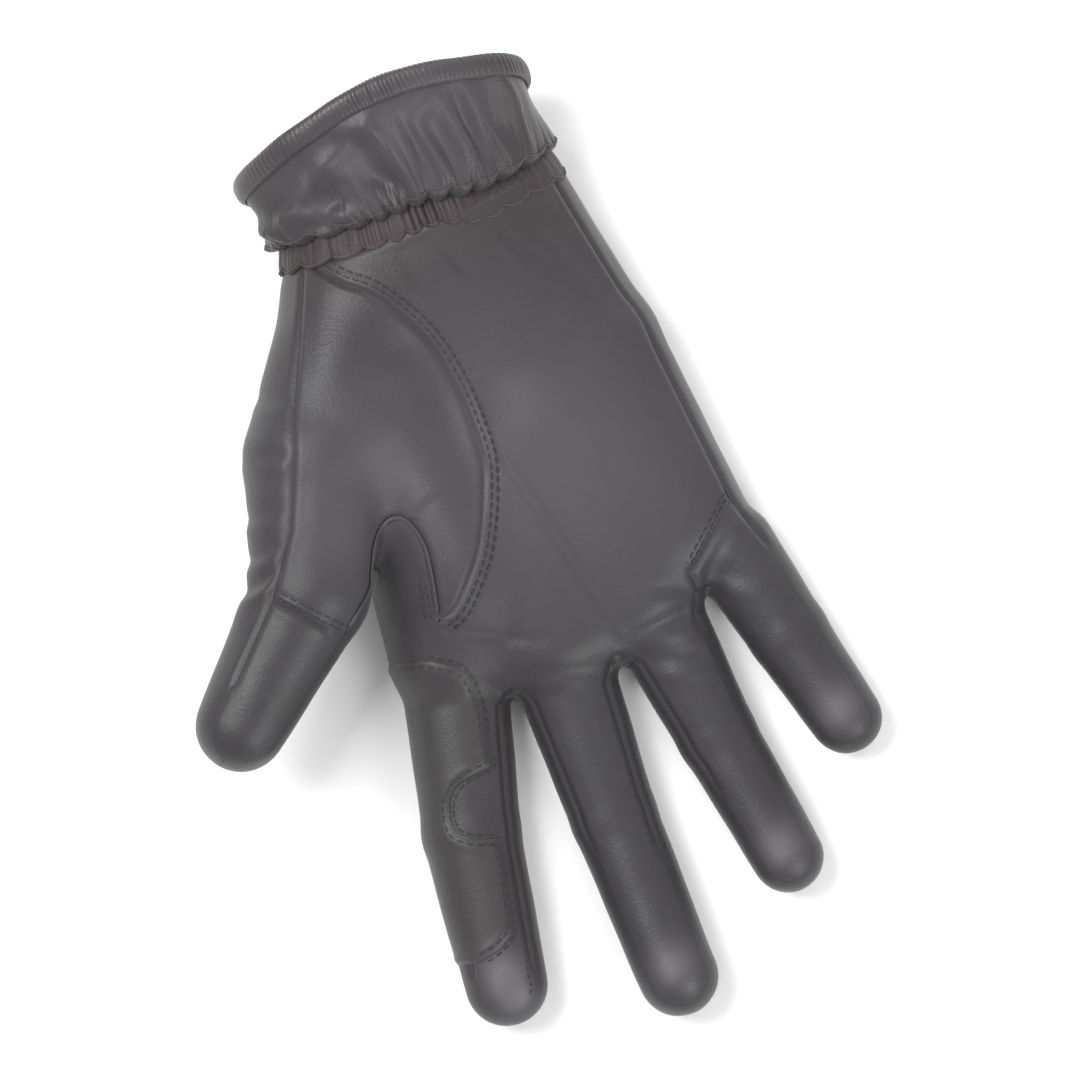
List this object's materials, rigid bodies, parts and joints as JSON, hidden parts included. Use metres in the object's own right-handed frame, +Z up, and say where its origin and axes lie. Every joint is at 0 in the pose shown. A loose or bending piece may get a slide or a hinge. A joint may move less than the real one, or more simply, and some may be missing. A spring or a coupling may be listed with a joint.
{
  "type": "leather riding glove",
  "caption": "Thin leather riding glove for a right hand, lying palm up and rounded as if worn, with sewn finger panels, a reinforced index finger, a gathered wrist and a puffed cuff with a rolled rim.",
  "frame": {"origin": "on the surface the glove lies on, under the middle of its bounding box", "axes": "+Z up, out of the palm; the fingers point to -Y and the cuff to +Y; the thumb is on the -X side"},
  "size_m": [0.1554, 0.2356, 0.0547],
  "materials": {
    "palm_leather": "satin black goat leather, slightly worn",
    "back_leather": "satin black goat leather",
    "patch_leather": "satin black leather, second layer",
    "band_leather": "soft black leather gathered over elastic",
    "binding_leather": "satin black leather, rolled and finely ribbed"
  },
  "bodies": {
    "root": {"palm": "palm_leather", "little_finger_front": "palm_leather", "back": "back_leather", "fourchette_index_middle": "back_leather", "fourchette_middle_ring": "back_leather", "fourchette_ring_little": "back_leather", "thumb_front": "palm_leather", "thumb_tip": "palm_leather", "thumb_back": "back_leather", "thumb_gusset": "back_leather", "index_patch": "patch_leather", "wrist_band": "band_leather", "cuff": "palm_leather", "cuff_binding": "binding_leather"}
  },
  "joints": []
}
